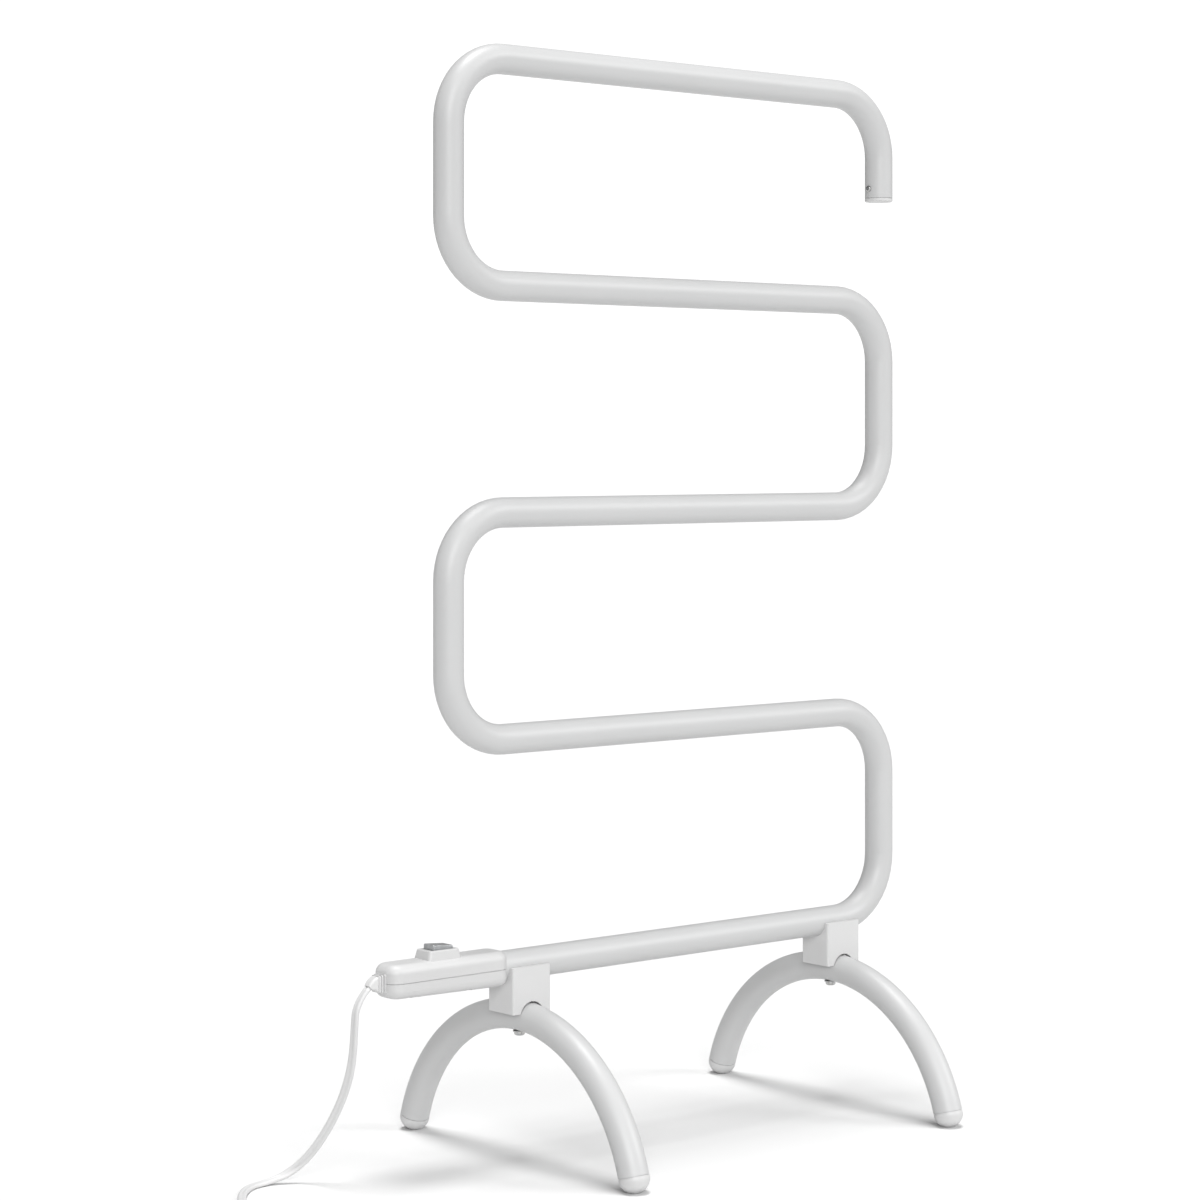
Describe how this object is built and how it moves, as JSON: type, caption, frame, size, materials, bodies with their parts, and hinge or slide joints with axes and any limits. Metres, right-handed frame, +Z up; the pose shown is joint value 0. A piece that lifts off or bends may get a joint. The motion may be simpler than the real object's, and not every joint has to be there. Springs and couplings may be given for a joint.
{
  "type": "towel warmer rack",
  "caption": "Free-standing electric towel warmer: a serpentine heated tube with five bars on two arched legs, with an in-line rocker switch box and a flat cord.",
  "frame": {"origin": "on the floor, at the middle of the rack's footprint with its control box and without the cord", "axes": "+Z up, +X along the bars towards the free end and away from the control box, -Y is the front"},
  "size_m": [0.7645, 0.3106, 0.914],
  "materials": {
    "powder_coated_tube": "satin white powder coat",
    "cap_plastic": "satin moulded white",
    "block_plastic": "fine satin moulded white",
    "box_plastic": "semi-gloss moulded white",
    "zinc_steel": "bright zinc plated",
    "spring_steel": "drawn wire",
    "rocker_lens": "polished translucent smoke grey",
    "switch_plastic": "black moulded",
    "contact_brass": "bright",
    "lamp_glass": "clear glass",
    "silicone": "matt silicone",
    "cord_pvc": "satin white PVC",
    "tie_plastic": "matt",
    "fuse_case": "satin",
    "crimp_nylon": "matt nylon"
  },
  "bodies": {
    "rack": {"box_lower_shell": "box_plastic", "box_screws": "zinc_steel", "box_upper_shell": "box_plastic", "coil_tie": "tie_plastic", "cord_clamp": "switch_plastic", "cord_clamp_screws": "zinc_steel", "cord_cores": "cord_pvc", "cord_tail": "cord_pvc", "fuse_lead": "silicone", "heater_bush": "silicone", "heater_end_seal": "silicone", "heater_leads": "silicone", "heating_cable": "silicone", "left_front_foot_cap": "cap_plastic", "left_leg_tube": "powder_coated_tube", "left_rear_foot_cap": "cap_plastic", "left_saddle_block": "block_plastic", "leg_bolts": "zinc_steel", "leg_washers": "zinc_steel", "neon_lamp": "lamp_glass", "neutral_crimp": "crimp_nylon", "plug_body": "cord_pvc", "plug_pins": "contact_brass", "rail_end_plug": "cap_plastic", "rail_end_screw": "zinc_steel", "rail_tube": "powder_coated_tube", "right_front_foot_cap": "cap_plastic", "right_leg_tube": "powder_coated_tube", "right_rear_foot_cap": "cap_plastic", "right_saddle_block": "block_plastic", "rivet_nuts": "zinc_steel", "strain_relief": "cord_pvc", "supply_cord": "cord_pvc", "supply_cord_coil": "cord_pvc", "supply_cord_end": "cord_pvc", "switch_housing": "switch_plastic", "switch_terminals": "contact_brass", "thermal_fuse": "fuse_case", "tube_lock_screw": "zinc_steel"},
    "rocker": {"switch_rocker": "rocker_lens", "rocker_plunger": "switch_plastic", "rocker_spring": "spring_steel"},
    "lever": {"contact_lever": "contact_brass"}
  },
  "joints": [
    {"name": "rocker_tilt", "type": "hinge", "parent": "rack", "child": "rocker", "pos_m": [-0.2235, 0, 0.1765], "axis": [0, 1, 0], "range_deg": [-9, 0]},
    {"name": "lever_tilt", "type": "hinge", "parent": "rack", "child": "lever", "pos_m": [-0.2235, 0, 0.1667], "axis": [0, 1, 0], "range_deg": [0, 12]}
  ],
  "couplings": [
    {"joint": "lever_tilt", "follows": "rocker_tilt", "ratio": -1.3333}
  ]
}
